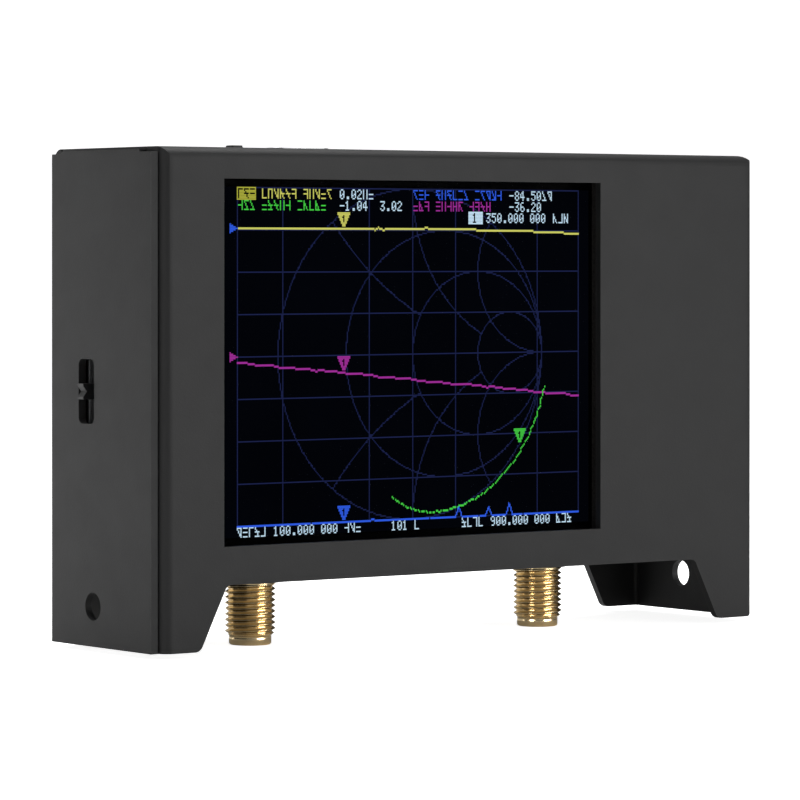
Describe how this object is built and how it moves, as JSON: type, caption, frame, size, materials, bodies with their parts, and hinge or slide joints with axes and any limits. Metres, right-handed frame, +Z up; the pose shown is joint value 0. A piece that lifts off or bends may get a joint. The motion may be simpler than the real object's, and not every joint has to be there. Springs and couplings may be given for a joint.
{
  "type": "vector network analyzer",
  "caption": "Handheld vector network analyzer: folded sheet case on ear feet, colour touch screen, coaxial ports below, jog lever in the side wall, USB socket and power slide on top.",
  "frame": {"origin": "middle of the outer face of the back panel: half the case width, half the case height, at the back face", "axes": "+Z up with the coaxial ports pointing down, +Y out of the back panel so that the screen faces -Y, +X to the right of someone reading the screen, along the case's width"},
  "size_m": [0.0968, 0.0245, 0.0628],
  "materials": {
    "powder_coat": "fine-textured satin powder coat, dark grey",
    "black_screw": "black oxide, satin",
    "bright_steel": "plated, satin",
    "brass_standoff": "turned, satin",
    "dark_foam": "matte foam",
    "touch_film": "clear, glossy",
    "screen_glass": "polished glass, black",
    "white_frame": "satin",
    "polyimide_flex": "amber film",
    "grey_foam": "matte foam",
    "solder_mask": "glossy solder mask, dark blue",
    "tinned_can": "tinned, satin",
    "chip_epoxy": "moulded epoxy",
    "gold_brass": "gold-plated brass, satin",
    "gold_contact": "gold-plated, polished",
    "white_insulator": "white fluoropolymer",
    "black_nut": "black plated, satin",
    "black_nylon": "moulded, satin",
    "red_light": "clear lens, lit red",
    "pouch_foil": "laminated foil, satin",
    "adhesive_foam": "matte",
    "ivory_nylon": "moulded, satin",
    "wire_sleeve": "flexible sleeve, satin",
    "label_paper": "satin printed label"
  },
  "bodies": {
    "root": {"front_cover": "powder_coat", "back_cover": "powder_coat", "port_plate": "powder_coat", "back_screws": "black_screw", "front_standoffs": "bright_steel", "rear_standoffs": "brass_standoff", "window_gasket": "dark_foam", "touch_panel": "touch_film", "lcd_panel": "screen_glass", "backlight_frame": "white_frame", "lcd_flex": "polyimide_flex", "screen_pads": "grey_foam", "main_board": "solder_mask", "rf_shield_cans": "tinned_can", "rf_chips": "chip_epoxy", "processor_chip": "chip_epoxy", "support_chips": "chip_epoxy", "clock_crystal": "tinned_can", "port_1_body": "gold_brass", "port_2_body": "gold_brass", "port_insulators": "white_insulator", "port_contacts": "gold_contact", "port_nuts": "black_nut", "port_washers": "black_nut", "jog_switch_body": "black_nylon", "power_switch_body": "tinned_can", "usb_shell": "bright_steel", "usb_tongue": "black_nylon", "status_leds": "red_light", "battery_cell": "pouch_foil", "battery_pad": "adhesive_foam", "battery_socket": "ivory_nylon", "battery_plug": "ivory_nylon", "battery_leads": "wire_sleeve", "back_label": "label_paper"},
    "jog_carrier": {"jog_carrier": "black_nylon", "jog_pin": "bright_steel"},
    "jog_lever": {"jog_lever": "black_nylon"},
    "power_switch_knob": {"power_switch_knob": "black_nylon"}
  },
  "joints": [
    {"name": "jog_press", "type": "slide", "parent": "root", "child": "jog_carrier", "axis": [1, 0, 0], "range_m": [0, 0.00035], "stiffness_N_per_m": 400},
    {"name": "jog_tilt", "type": "hinge", "parent": "jog_carrier", "child": "jog_lever", "pos_m": [-0.0438, -0.009, 0.0007], "axis": [0, 1, 0], "range_deg": [-12, 12], "stiffness_Nm_per_rad": 0.004},
    {"name": "power_slide", "type": "slide", "parent": "root", "child": "power_switch_knob", "axis": [-1, 0, 0], "range_m": [0, 0.002]}
  ]
}
